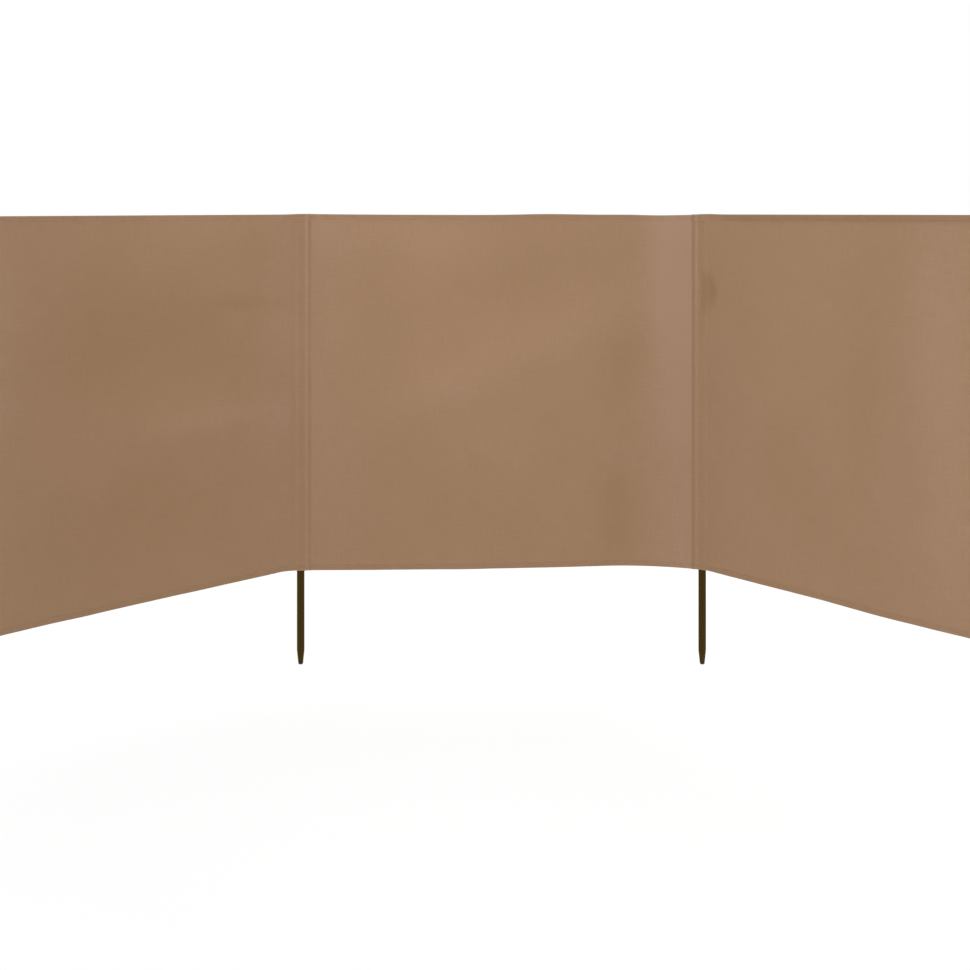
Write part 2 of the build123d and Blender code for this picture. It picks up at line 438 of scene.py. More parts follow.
class ClothRun:
    """A piece of cloth along its plan, from left to right, with its slack and the pull along its edges.

    A run through a tunnel has two plans: the open one round the pole, and the shut one above the pole.
    """

    def __init__(self, open_plan, shut_plan, slack, lift, sag):
        self.along, open_line = open_plan
        self.length = self.along[-1]
        shares = np.linspace(0.0, 1.0, len(self.along))
        shut_along, shut_line = shut_plan
        columns = [np.interp(shares, shut_along / shut_along[-1], shut_line[:, axis]) for axis in (0, 1)]
        self.open_line = softened(open_line)
        self.shut_line = softened(np.stack(columns, axis=1))
        self.slack = slack
        self.lift = lift
        self.sag = sag

    def plan_at(self, along, openness):
        """The plan's points at these distances along it."""
        columns = []
        for axis in (0, 1):
            opened = np.interp(along, self.along, self.open_line[:, axis])
            shut = np.interp(along, self.along, self.shut_line[:, axis])
            columns.append(openness * opened + (1 - openness) * shut)
        return np.stack(columns, axis=-1)

    def place(self, along, up, depth):
        """Points of the cloth, from distance along it, height above its lower edge and depth to the front."""
        along, up, depth = np.broadcast_arrays(along, up, depth)
        openness = ease(up, cloth_height - HEM_ROWS[0], tunnel_top)
        plan = self.plan_at(along, openness)
        run = self.plan_at(along + PLAN_STEP, openness) - self.plan_at(along - PLAN_STEP, openness)
        run = run / np.maximum(np.linalg.norm(run, axis=-1, keepdims=True), 1e-12)
        front = np.stack([run[..., 1], -run[..., 0]], axis=-1)
        plan = plan + front * (depth + self.slack(along, up))[..., None]
        level = np.clip(up / cloth_height, 0.0, 1.0)
        pulled_up = self.lift(along) * (1 - level) ** EDGE_PULL_POWER
        pulled_down = self.sag(along) * level ** EDGE_PULL_POWER
        height = cloth_foot + up + (pulled_up - pulled_down)
        return np.concatenate([plan, height[..., None]], axis=-1)


def hem_swell(up):
    """How far a hem's outer layers stand out between its rows of stitches."""
    from_edge = np.minimum(up, cloth_height - up)
    within = ease(from_edge, 0.0, HEM_SWELL_RISE) * ease(from_edge, hem_height + HEM_SWELL_FALL, hem_height)
    return within * (HEM_SWELL - STITCH_SINK * sum(bump(from_edge, row, STITCH_DIP) for row in HEM_ROWS))


def hem_profile():
    """The cloth's section: the turned lower hem, the outer layer, and the turned upper hem.

    Each is an array of heights and depths of the middle of the cloth.
    """
    bend = LAYER_PITCH / 2
    back_rows = np.linspace(hem_height - bend, 2 * bend, HEM_BACK_STEPS)
    lower = np.concatenate([
        [(hem_height - HEM_TURN, -LAYER_PITCH), (hem_height - bend, -LAYER_PITCH)],
        [(hem_height, -1.5 * LAYER_PITCH)],
        np.stack([back_rows, -2 * LAYER_PITCH - hem_swell(back_rows)], axis=1),
        [(bend / 2, -1.5 * LAYER_PITCH), (0.0, -LAYER_PITCH), (bend / 2, -LAYER_PITCH / 2)],
    ])
    near_edge = np.linspace(2 * bend, 1.5 * hem_height, HEM_FRONT_STEPS)
    field = np.linspace(near_edge[-1], cloth_height - near_edge[-1], int(cloth_height / FIELD_STEP))[1:-1]
    heights = np.concatenate([near_edge, field, cloth_height - near_edge[::-1]])
    outer = np.stack([heights, hem_swell(heights)], axis=1)
    upper = lower[::-1] * (-1, 1) + (cloth_height, 0)
    return lower, outer, upper


def stations_between(places):
    """Stations along a run, from pairs of a place and the step from there to the next place."""
    spans = []
    for (start, step), (end, _) in zip(places[:-1], places[1:]):
        spans.append(np.linspace(start, end, max(2, round((end - start) / step) + 1))[:-1])
    return np.concatenate(spans + [[places[-1][0]]])


def mesh_piece(name, points, faces, finish):
    """A smooth-shaded object from arrays of points and faces."""
    mesh = bpy.data.meshes.new(name)
    mesh.from_pydata(points.tolist(), [], faces.tolist())
    mesh.polygons.foreach_set("use_smooth", np.ones(len(mesh.polygons), bool))
    mesh.set_sharp_from_angle(angle=SHARP_ANGLE)
    mesh.materials.append(finish)
    piece = bpy.data.objects.new(name, mesh)
    bpy.context.scene.collection.objects.link(piece)
    return piece


def sheet_piece(name, run, stations, profile, painted_shading_at):
    """A closed mesh of cloth: its section, with its thickness, carried along a run's stations.

    Its last argument gives the painted light and shade along and up the cloth: above 0 where light is
    painted, below 0 where shade is painted.
    """
    slope = np.gradient(profile, axis=0)
    slope = slope / np.linalg.norm(slope, axis=1, keepdims=True)
    normal = np.stack([-slope[:, 1], slope[:, 0]], axis=1)
    inner = (profile - normal * CLOTH_THICKNESS / 2)[::-1]
    section = np.concatenate([profile + normal * CLOTH_THICKNESS / 2, inner])
    count, rows, half = len(stations), len(section), len(profile)
    points = run.place(stations[:, None], section[None, :, 0], section[None, :, 1]).reshape(-1, 3)
    index = np.arange(count * rows).reshape(count, rows)
    after = np.roll(index, -1, axis=1)
    faces = [np.stack([index[:-1], index[1:], after[1:], after[:-1]], axis=-1).reshape(-1, 4)]
    for station, order in ((0, 1), (count - 1, -1)):
        outside = index[station, :half]
        inside = index[station, half:][::-1]
        faces.append(np.stack([outside[:-1], outside[1:], inside[1:], inside[:-1]], axis=-1)[:, ::order])
    piece = mesh_piece(name, points, np.concatenate(faces), cloth_finish)
    reach = np.concatenate([[0.0], np.cumsum(np.linalg.norm(np.diff(profile, axis=0), axis=1))])
    flat_up = np.concatenate([reach, reach[::-1]])
    flat = np.stack(np.broadcast_arrays(stations[:, None], flat_up[None, :]), axis=-1).reshape(-1, 2)
    corners = np.empty(len(piece.data.loops), np.int32)
    piece.data.loops.foreach_get("vertex_index", corners)
    piece.data.uv_layers.new(name="flat_cloth").data.foreach_set("uv", flat[corners].ravel())
    # The mesh keeps the painted light and shade as an attribute, with a share of it on the back.
    marks = piece.data.attributes.new("painted_shading", "FLOAT", "POINT")
    tint = np.where(np.arange(rows) < half, 1.0, BACK_PAINTED_SHARE)
    painted_shading = np.broadcast_to(painted_shading_at(stations[:, None], section[None, :, 0]) * tint, (count, rows))
    marks.data.foreach_set("value", painted_shading.astype(np.float32).ravel())
    return piece


# One stitch: along it, across it and out from the cloth, as shares of its length, half width and height
STITCH_SHAPE = np.array([
    (-0.5, 0, -0.5),
    (-0.25, -1, 0), (-0.25, 0, 1), (-0.25, 1, 0), (-0.25, 0, -0.6),
    (0.25, -1, 0), (0.25, 0, 1), (0.25, 1, 0), (0.25, 0, -0.6),
    (0.5, 0, -0.5),
])
STITCH_FACES = np.array([
    (0, 1, 2), (0, 2, 3), (0, 3, 4), (0, 4, 1),
    (1, 5, 6), (1, 6, 2), (2, 6, 7), (2, 7, 3), (3, 7, 8), (3, 8, 4), (4, 8, 5), (4, 5, 1),
    (9, 6, 5), (9, 7, 6), (9, 8, 7), (9, 5, 8),
])


def stitch_row(run, start, end, depth, face):
    """The points of a row of stitches between two places (along, up), on the front (1) or the back (-1)."""
    start, end = np.array(start), np.array(end)
    length = np.linalg.norm(end - start)
    level = start[1] == end[1]
    count = int(length / STITCH_PITCH)
    centres = start + (end - start) * ((np.arange(count) + 0.5) / count)[:, None]
    lengthwise = STITCH_SHAPE[:, 0] * STITCH_LENGTH
    sideways = STITCH_SHAPE[:, 1] * STITCH_HALF_WIDTH * (face if level else -face)
    offsets = np.stack([lengthwise, sideways] if level else [sideways, lengthwise], axis=1)
    spots = centres[:, None, :] + offsets[None]
    outward = face * (CLOTH_THICKNESS / 2 + STITCH_SHAPE[:, 2] * STITCH_HEIGHT)
    return run.place(spots[..., 0], spots[..., 1], depth + outward[None, :])


def hem_stitches(run, start, end, ups, face):
    """Rows along the hems at these heights, on the front (1) or the back (-1)."""
    rows = []
    for up in ups:
        swell = float(hem_swell(up))
        depth = swell if face > 0 else -2 * LAYER_PITCH - swell
        rows.append(stitch_row(run, (start, up), (end, up), depth, face))
    return rows


def seam_stitches(run, middle, face):
    """Rows up a seam, on the front (1) or the back (-1)."""
    low, high = HEM_ROWS[0] / 2, cloth_height - HEM_ROWS[0] / 2
    return [stitch_row(run, (middle + row, low), (middle + row, high), 0.0, face) for row in SEAM_ROWS]


def stitch_piece(name, rows):
    """One object from many rows of stitches."""
    points = np.concatenate([row.reshape(-1, 3) for row in rows])
    first = np.arange(len(points) // len(STITCH_SHAPE)) * len(STITCH_SHAPE)
    faces = (first[:, None, None] + STITCH_FACES[None]).reshape(-1, 3)
    return mesh_piece(name, points, faces, thread_finish)


lower_hem, outer_cloth, upper_hem = hem_profile()
cloth_profile = np.concatenate([lower_hem, outer_cloth, upper_hem])
lower_rows = list(HEM_ROWS)
upper_rows = [cloth_height - row for row in HEM_ROWS]
middle_inset = np.array([lap_start, 0.0])
middle_plan = drawn([
    left_foot + middle_inset + middle_front * STAND_OFF,
    right_foot - middle_inset + middle_front * STAND_OFF,
])
middle_width = middle_plan[0][-1]


def middle_folds(along, up):
    """A long slanting ridge with a hollow above it, a ridge at the upper left, and upright folds."""
    u = along / middle_width
    v = up / cloth_height
    return (
        0.007 * fold(u, v, (0.12, 0.40), (0.88, 0.76), 0.07)
        + 0.007 * fold(u, v, (-0.05, 0.95), (0.45, 0.90), 0.07)
        - 0.0035 * fold(u, v, (0.15, 0.68), (0.85, 0.90), 0.06)
        - 0.002 * fold(u, v, (0.00, 0.14), (0.72, 0.14), 0.17)
        - 0.010 * fold(u, v, (0.81, -0.02), (0.80, 0.30), 0.05)
        - 0.006 * fold(u, v, (0.80, 0.42), (0.83, 0.68), 0.05)
        + 0.006 * fold(u, v, (0.93, 0.20), (0.94, 1.05), 0.05)
    )


def middle_slack(along, up):
    """Its folds, dying out towards the poles, and the puckers of its hems and seams."""
    from_right = middle_width - along
    held = ease(along, 0.0, HELD_REACH) * ease(from_right, 0.0, HELD_REACH)
    free = ease(along - LAP, 0.0, HEM_FREE_REACH) * ease(from_right - LAP, 0.0, HEM_FREE_REACH)
    rippled = ripple(along + RIPPLE_SLANT * up, RIPPLE_PITCH, MIDDLE_SLACK_SEED)
    return (
        held * (middle_folds(along, up) + SLACK_RIPPLE * rippled)
        + free * hem_puckers(along, up, MIDDLE_HEM_SEED)
        + seam_puckers(along - LAP / 2, up, LEFT_SEAM_SEED)
        + seam_puckers(from_right - LAP / 2, up, RIGHT_SEAM_SEED)
    )


def middle_lift(along):
    """The lower edge: drawn up a little at the poles, and more between them, towards the right one."""
    u = np.clip(along / middle_width, 0.0, 1.0)
    at_poles = LOWER_EDGE_AT_LEFT * (1 - u) + LOWER_EDGE_AT_RIGHT * u
    return at_poles + LOWER_EDGE_BETWEEN * np.sin(math.pi * u**LOWER_EDGE_SKEW)


def middle_sag(along):
    """The upper edge: lower between the poles, with a high place and then a low one towards the right."""
    u = np.clip(along / middle_width, 0.0, 1.0)
    waves = np.sin(math.pi * u) ** 0.6 + 0.9 * bump(u, 0.91, 0.06) - 0.8 * bump(u, 0.62, 0.09)
    return TOP_SAG * waves + TOP_SAG_AT_RIGHT * ease(u, 0.9, 1.0)


middle_run = ClothRun(middle_plan, middle_plan, middle_slack, middle_lift, middle_sag)
middle_stations = stations_between([
    (0.0, SEAM_STEP),
    (SEAM_ZONE, FIELD_STEP / 3),
    (NEAR_ZONE, FIELD_STEP),
    (middle_width - NEAR_ZONE, FIELD_STEP / 3),
    (middle_width - SEAM_ZONE, SEAM_STEP),
    (middle_width, SEAM_STEP),
])


def middle_painted_shading(along, up):
    """Painted light and shade: paler on the folds' crests and darker in their hollows, with painted light a
    little towards the left pole, and more towards the top of the right one.
    """
    by_left = ease(along, 0.20 * middle_width, 0.0)
    by_right = ease(along, 0.82 * middle_width, middle_width)
    higher = 0.5 + 0.5 * ease(up, 0.3 * cloth_height, 0.9 * cloth_height)
    by_sides = LEFT_SIDE_PAINTED_LIGHT * by_left + RIGHT_SIDE_PAINTED_LIGHT * by_right * higher
    return FOLD_PAINTED_SHADE * middle_folds(along, up) + by_sides


middle_cloth = sheet_piece("middle_cloth", middle_run, middle_stations, cloth_profile, middle_painted_shading)
middle_rows = []
for face in (1, -1):
    middle_rows += hem_stitches(middle_run, LAP, middle_width - LAP, lower_rows + upper_rows, face)
middle_stitches = stitch_piece("middle_stitches", middle_rows)
for piece in (middle_cloth, middle_stitches):
    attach(piece, "middle_bay")
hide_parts("middle_panel", "middle_top_hem", "middle_bottom_hem")

# Outer bays
# The same cloth, cut longer: it laps over the middle bay's edge at a double-stitched seam, crosses in front
# of the shared pole, goes round the end pole and is sewn down on its own back. The left one hangs slacker.
# The right one's upper hem rolls forward, and its cloth is creased beside the shared pole.
LAP_LIFT = 0.0006
CROSSING_HEM_LIFT = 0.0014  # what the hems add where the cloth lies on another, or goes round a pole
LOOP_HEM_LIFT = 0.0010
BACK_HEM_LIFT = 0.0012
POLE_EASE = 0.0009  # between a pole and the middle of the cloth round it
CROSSING_EASE = 0.0028  # and where the cloth crosses in front of a shared pole
ARC_STEP = math.radians(8)
WING_RIPPLE_PITCH = 0.2
WING_RIPPLE_SLANT = 0.15
LEFT_SLACK_SEED = 31
RIGHT_SLACK_SEED = 41
FINE_MARGIN = 0.004  # how far past a seam the mesh stays fine
POLE_MARGIN = 0.008  # and how far before the seam's place beyond a shared pole it is fine again
END_ZONE = 0.06  # how far from an end pole's seam the mesh is finer than in the open cloth
STITCH_MARGIN = 0.002  # from an edge of the cloth to its first stitch
PULL_REACH = 0.06  # beyond the shared pole, to where a hem's pull is the open cloth's
PULL_STOP = 0.02  # beyond an end pole's seam, where that pull has died out
PULL_DIE_OUT = 0.1  # and before the seam, where it starts to
LEFT_LIFT = (0.0112, 0.0015)  # of a lower edge: next to the shared pole, and towards the end pole
LEFT_SAG = (0.002, 0.008)  # and of an upper edge
RIGHT_LIFT = (0.0055, 0.0055)
RIGHT_SAG = (0.0018, 0.0034)
SLACK_STRETCH = 0.0045  # how far the right bay's lower edge drops again in one place
SLACK_STRETCH_SHARES = (0.52, 0.14)  # that place and its width
HELD_UP = 0.0016  # how far the right pole holds up the upper edge
HELD_UP_WIDTH = 0.04
RIDGE_PAINTED_HIGHLIGHT = 0.8  # painted highlight along the ridge beside the near seam
RIDGE_WIDTH = 0.0045
# painted shadow of the pole, seen through the cloth over it
OVER_POLE_PAINTED_SHADOW = -0.2
OVER_POLE_WIDTH = 0.011
OVER_POLE_SHIFT = 0.002  # of that tint's middle, past the front of the pole
BAY_TINT_REACH = 0.1  # beyond the shared pole, to where the painted shade of a whole bay or hem is full
# painted shade: the left bay a little darker all over
LEFT_BAY_PAINTED_SHADE = -0.09
CREASE_FROM_TOP = 0.180
CREASE_HEIGHT = 0.085  # of its rounded upper part
CREASE_REACH = 0.046  # beyond the seam's place on the far side of the pole
CREASE_ONSET = (-0.002, 0.006)  # from the front of the pole: where it starts, and where it is full
CREASE_RIM_SHARES = (1.05, 0.6)  # of its reach and height: where it starts, and where it is full
CREASE_TAIL_SHARES = (2.6, 0.9)  # of its height, at the pole: where it has died out, and where it starts to
CREASE_TAIL_SLANT = 1.3  # how much sooner it has died out at its reach
CREASE_DEPTH = 0.002
CREASE_GIVE = (-0.012, 0.014)  # from the seam's place beyond the pole: where it starts to go in, and is in
# painted shadow in the crease beside the right pole
CREASE_PAINTED_SHADOW = -0.85
HEM_ROLL = 0.006  # how far the right bay's upper hem comes forward
HEM_ROLL_REACH = 0.2  # from a pole's seam to where it comes that far
# painted shade along the right bay's thick rolled hem
ROLLED_HEM_PAINTED_SHADE = -0.4

wrap_radius = pole_radius + POLE_EASE
sewn_down = STAND_OFF - 2 * LAYER_PITCH  # where the cloth lies that comes back round an end pole


class WingPlan:
    """Where an outer bay's cloth runs: the seams beside its poles, and the line through them."""

    def __init__(self, name, inward, near_seed):
        self.name = name
        self.near_seed = near_seed
        self.inward = np.array(inward)
        self.shared_foot = pole_foot(f"{name}_pole")
        self.end_foot = pole_foot(f"{name}_end_pole")
        self.from_left = self.inward[0] > 0
        span = self.end_foot - self.shared_foot
        self.along_bay = span / np.linalg.norm(span)
        side = np.array([-self.along_bay[1], self.along_bay[0]])
        self.front = side if side @ self.inward > 0 else -side
        self.near_edge = self.shared_foot + self.inward * lap_start + middle_front * STAND_OFF
        self.far_edge = self.shared_foot + self.along_bay * lap_start + self.front * STAND_OFF
        between = self.inward + self.along_bay
        self.between = between / np.linalg.norm(between)
        self.crossing = self.shared_foot + self.between * (pole_radius + CROSSING_EASE)
        lifted = self.near_edge + middle_front * LAP_LIFT
        line = [lifted + self.inward * LAP, lifted, self.crossing, self.far_edge]
        line.append(self.about_end(-lap_start, STAND_OFF))
        self.opened = drawn(line + self.open_loop())
        self.length = self.opened[0][-1]
        self.crossing_at = drawn(line[:3])[0][-1]
        self.far_at = drawn(line[:4])[0][-1] + LAP / 2
        self.loop_at = drawn(line)[0][-1]
        self.end_at = self.loop_at - LAP / 2
        self.shut = drawn(line + self.shut_loop(self.length - self.loop_at))

    def about_end(self, outward, forward):
        """A point given from the end pole's axis."""
        return self.end_foot + self.along_bay * outward + self.front * forward

    def open_loop(self):
        """From the seam round the end pole and back to the seam, touching the pole."""
        lean = math.acos(wrap_radius / math.hypot(lap_start, STAND_OFF))
        first = math.atan2(STAND_OFF, -lap_start) - lean
        last = math.atan2(sewn_down, -lap_start) + lean - 2 * math.pi
        turns = np.linspace(first, last, int((first - last) / ARC_STEP))
        loop = [self.about_end(wrap_radius * math.cos(turn), wrap_radius * math.sin(turn)) for turn in turns]
        return loop + [self.about_end(-lap_start, sewn_down), self.about_end(-lap_start - LAP, sewn_down)]

    def shut_loop(self, loop_length):
        """The same length of cloth folded flat, as it is sewn above the pole."""
        fold_at = (loop_length - LAP) / 2 - lap_start
        corners = ((fold_at, STAND_OFF), (fold_at, sewn_down), (-lap_start - LAP, sewn_down))
        return [self.about_end(*corner) for corner in corners]

    def outward(self, along):
        """Distance from the lapped edge, for a distance along the run from left to right, or the reverse."""
        return self.length - along if self.from_left else along

    def share(self, out):
        """0 at the shared pole's side of the open cloth, and 1 at the end pole's."""
        return (out - self.far_at) / (self.end_at - self.far_at)

    def from_left_to_right(self, plan):
        """A plan that starts at the inner side, as a run needs it."""
        along, line = plan
        return (along[-1] - along[::-1], line[::-1]) if self.from_left else plan

    def spread(self, piece):
        """Bakes a piece's placement into its mesh."""
        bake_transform(piece)


def wing_slack(plan, out, up, folds, seed):
    """Slack of an outer bay: given folds in its open cloth, and what its seams and hems do."""
    u, v = plan.share(out), up / cloth_height
    beyond_pole = out - plan.far_at
    to_end = plan.end_at - out
    behind_end = out - plan.length + LAP / 2
    held = ease(beyond_pole, 0.0, HELD_REACH) * ease(to_end, 0.0, HELD_REACH)
    free = ease(beyond_pole, 0.0, HEM_FREE_REACH) * ease(to_end, 0.0, HEM_FREE_REACH)
    over = ease(out, plan.far_at + 2 * LAP, plan.far_at - LAP)
    in_loop = ease(out, plan.loop_at, plan.loop_at + LAP)
    loop_middle = (plan.loop_at + plan.length) / 2
    behind = ease(out, loop_middle - LAP, loop_middle + LAP)
    return (
        held * (folds(u, v) + SLACK_RIPPLE * ripple(out + WING_RIPPLE_SLANT * up, WING_RIPPLE_PITCH, seed))
        + free * hem_puckers(out, up, seed + 4)
        + seam_puckers(LAP / 2 - out, up, plan.near_seed)
        + seam_puckers(to_end, up, seed + 3) * (1 - in_loop)
        - seam_puckers(behind_end, up, seed + 3) * behind
        - seam_dips(out - LAP / 2) - seam_dips(to_end) - seam_dips(behind_end)
        + hem_band(up) * (CROSSING_HEM_LIFT * over + LOOP_HEM_LIFT * in_loop + BACK_HEM_LIFT * behind)
    )


def wing_edge(plan, out, at_seam, near, far):
    """A pull on a hem: at the seam beside the shared pole, next to that pole, and towards the end pole."""
    share = np.clip(plan.share(out), 0.0, 1.0)
    in_bay = near * (1 - share) + far * share
    risen = ease(out, LAP, plan.far_at + PULL_REACH)
    dying_out = ease(out, plan.end_at + PULL_STOP, plan.end_at - PULL_DIE_OUT)
    return (at_seam * (1 - risen) + in_bay * risen) * dying_out


def wing_painted_shading(plan, out, up, folds):
    """Painted light and shade: paler on the folds' crests, a painted highlight along the ridge beside the
    near seam, and the pole's painted shadow over it.
    """
    near_top = 0.6 + 0.4 * ease(up, 0.5 * cloth_height, cloth_height)
    on_ridge = near_top * bump(out, 1.5 * LAP, RIDGE_WIDTH)
    over_pole = bump(out, plan.crossing_at + OVER_POLE_SHIFT, OVER_POLE_WIDTH)
    in_bay = ease(out, plan.crossing_at, plan.far_at + 2 * LAP)
    on_folds = FOLD_PAINTED_SHADE * folds(plan.share(out), up / cloth_height) * in_bay
    return on_folds + RIDGE_PAINTED_HIGHLIGHT * on_ridge + OVER_POLE_PAINTED_SHADOW * over_pole


def make_wing(plan, slack, lift, sag, painted_shading_at):
    """An outer bay's cloth with its stitches."""
    run = ClothRun(
        plan.from_left_to_right(plan.opened),
        plan.from_left_to_right(plan.shut),
        lambda along, up: slack(plan.outward(along), up),
        lambda along: lift(plan.outward(along)),
        lambda along: sag(plan.outward(along)),
    )
    places = stations_between([
        (0.0, SEAM_STEP),
        (LAP + FINE_MARGIN, 2 * SEAM_STEP),
        (plan.far_at - POLE_MARGIN, SEAM_STEP),
        (plan.far_at + LAP, FIELD_STEP / 3),
        (plan.far_at + NEAR_ZONE, FIELD_STEP),
        (plan.end_at - END_ZONE, FIELD_STEP / 3),
        (plan.end_at - LAP, SEAM_STEP),
        (plan.loop_at + FINE_MARGIN, 1.4 * SEAM_STEP),
        (plan.length, SEAM_STEP),
    ])
    stations = np.sort(plan.outward(places))
    cloth = sheet_piece(
        f"{plan.name}_cloth",
        run,
        stations,
        cloth_profile,
        lambda along, up: painted_shading_at(plan.outward(along), up),
    )
    whole = np.sort(plan.outward(np.array([STITCH_MARGIN, plan.length - STITCH_MARGIN])))
    seen_behind = np.sort(plan.outward(np.array([plan.far_at, plan.end_at - LAP / 2])))
    rows = hem_stitches(run, *whole, lower_rows + upper_rows, 1)
    rows += hem_stitches(run, *seen_behind, lower_rows + upper_rows, -1)
    for middle in (LAP / 2, plan.end_at, plan.length - LAP / 2):
        rows += seam_stitches(run, plan.outward(middle), 1)
    stitches = stitch_piece(f"{plan.name}_stitches", rows)
    for piece in (cloth, stitches):
        plan.spread(piece)
    name = plan.name
    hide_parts(f"{name}_panel", f"{name}_top_hem", f"{name}_bottom_hem", f"{name}_end_pole_tunnel")


left_plan = WingPlan("left", (1.0, 0.0), LEFT_SEAM_SEED)
right_plan = WingPlan("right", (-1.0, 0.0), RIGHT_SEAM_SEED)


def left_folds(u, v):
    """Two broad hollows, the ridges round them, and a short crease beside the shared pole."""
    return (
        -0.011 * fold(u, v, (0.12, 0.70), (0.72, 0.64), 0.15)
        + 0.006 * fold(u, v, (-0.06, 0.46), (0.48, 0.43), 0.04)
        + 0.009 * fold(u, v, (0.05, -0.15), (0.02, 1.15), 0.06)
        - 0.006 * fold(u, v, (-0.08, 0.745), (0.26, 0.75), 0.025)
        - 0.008 * fold(u, v, (0.12, 0.23), (0.74, 0.23), 0.15)
        + 0.009 * fold(u, v, (0.82, -0.15), (0.80, 1.15), 0.08)
    )


def left_painted_shading(out, up):
    """Painted shade: a little darker all over than the other bays."""
    in_bay = ease(out, left_plan.crossing_at, left_plan.far_at + BAY_TINT_REACH)
    return wing_painted_shading(left_plan, out, up, left_folds) + LEFT_BAY_PAINTED_SHADE * in_bay


def right_folds(u, v):
    """Upright folds, the strongest towards the end pole, and a faint hollow below."""
    return (
        0.004 * fold(u, v, (0.08, -0.15), (0.08, 0.72), 0.10)
        - 0.005 * fold(u, v, (0.46, 0.20), (0.44, 0.85), 0.05)
        + 0.011 * fold(u, v, (0.68, -0.15), (0.66, 1.15), 0.10)
        - 0.002 * fold(u, v, (0.16, 0.30), (0.42, 0.22), 0.10)
    )


def right_crease(out, up):
    """The crease beside the right pole: rounded above, where it starts at the pole, and dying out below."""
    pole_front = right_plan.crossing_at
    across = np.maximum(out - pole_front, 0.0) / (right_plan.far_at + CREASE_REACH - pole_front)
    down = (cloth_height - CREASE_FROM_TOP - up) / CREASE_HEIGHT
    rounded = ease(np.hypot(across, np.maximum(1 - down, 0.0)), *CREASE_RIM_SHARES)
    from_pole = ease(out - pole_front, *CREASE_ONSET)
    tail_end, tail_start = CREASE_TAIL_SHARES
    return rounded * from_pole * ease(down, tail_end - CREASE_TAIL_SLANT * across, tail_start)


def right_slack(out, up):
    """As on the left, with the upper hem rolled forward, and the crease pressed in clear of the pole."""
    beyond_pole = out - right_plan.far_at
    to_end = right_plan.end_at - out
    open_hem = ease(beyond_pole, 0.0, HEM_ROLL_REACH) * ease(to_end, 0.0, HEM_ROLL_REACH)
    rolled = HEM_ROLL * open_hem * ease(up, cloth_height - 1.8 * hem_height, cloth_height)
    pressed_in = CREASE_DEPTH * right_crease(out, up) * ease(beyond_pole, *CREASE_GIVE)
    return wing_slack(right_plan, out, up, right_folds, RIGHT_SLACK_SEED) + rolled - pressed_in


def right_lift(out):
    """Drawn up evenly, with one slack stretch."""
    dropped = SLACK_STRETCH * bump(right_plan.share(out), *SLACK_STRETCH_SHARES)
    return wing_edge(right_plan, out, LOWER_EDGE_AT_RIGHT, *RIGHT_LIFT) - dropped


def right_sag(out):
    """Held up over the pole, and lower on both sides of it."""
    over_pole = bump(out, right_plan.far_at, HELD_UP_WIDTH)
    return wing_edge(right_plan, out, TOP_SAG_AT_RIGHT, *RIGHT_SAG) - HELD_UP * over_pole


def right_painted_shading(out, up):
    """Painted shade in the crease and along the thick rolled hem."""
    in_hem = ease(up, cloth_height - 1.2 * hem_height, cloth_height - hem_height)
    in_hem = in_hem * ease(out, right_plan.far_at, right_plan.far_at + BAY_TINT_REACH)
    dulled_and_shaded = CREASE_PAINTED_SHADOW * right_crease(out, up) + ROLLED_HEM_PAINTED_SHADE * in_hem
    return wing_painted_shading(right_plan, out, up, right_folds) + dulled_and_shaded


make_wing(
    left_plan,
    lambda out, up: wing_slack(left_plan, out, up, left_folds, LEFT_SLACK_SEED),
    lambda out: wing_edge(left_plan, out, LOWER_EDGE_AT_LEFT, *LEFT_LIFT),
    lambda out: wing_edge(left_plan, out, 0.0, *LEFT_SAG),
    left_painted_shading,
)
make_wing(right_plan, right_slack, right_lift, right_sag, right_painted_shading)

# Pole sleeves
# A strip of the same cloth goes round each shared pole behind the bays, and both of its edges are sewn into
# the seam beside the pole. It is hemmed at its open mouth, and pressed flat and sewn shut above the pole.
SLEEVE_STEP = 0.0024
SLEEVE_FINE_MARGIN = 0.002
SLEEVE_STITCH_MARGIN = 0.001
HIDDEN_SHARE = 0.35  # of a sleeve's width, from its front edge: what the bays hide has no stitches
SLEEVE_SLACK = 0.0006
SLEEVE_RIPPLE_PITCH = 0.11
SLEEVE_RIPPLE_SLANT = 0.1
LEFT_SLEEVE_SEED = 51
RIGHT_SLEEVE_SEED = 61
SLEEVE_HEM_FLARE = 0.0010  # room for the turned hem between the sleeve and the pole
FRONT_EDGE_BACK = 0.0012  # how far the hems push the sleeve's two edges back in the seam
BACK_EDGE_BACK = 0.0032

sleeve_profile = np.concatenate([lower_hem, outer_cloth])


def sleeve_plans(plan):
    """A sleeve's open plan, round its pole, and its shut one, flat behind the bays: front edge first."""
    ends = []
    for layer in (1, 2):
        behind = 2 * LAYER_PITCH * layer
        seam = plan.near_edge - middle_front * behind
        flat = [
            seam + plan.inward * LAP,
            seam,
            plan.crossing - plan.between * behind,
            plan.far_edge - plan.front * behind,
        ]
        ends.append((STAND_OFF - behind, flat))
    (front_depth, front_flat), (back_depth, back_flat) = ends
    front_lean, back_lean = [
        math.acos(wrap_radius / math.hypot(depth, lap_start)) for depth in (front_depth, back_depth)
    ]
    first = math.atan2(front_depth, lap_start) + front_lean
    last = math.atan2(back_depth, lap_start) - back_lean + 2 * math.pi
    turns = np.linspace(first, last, int((last - first) / ARC_STEP))
    arc = [
        plan.shared_foot + wrap_radius * (plan.inward * math.cos(turn) + middle_front * math.sin(turn))
        for turn in turns
    ]
    return drawn(front_flat[:2] + arc + back_flat[1::-1]), drawn(front_flat + back_flat[::-1])


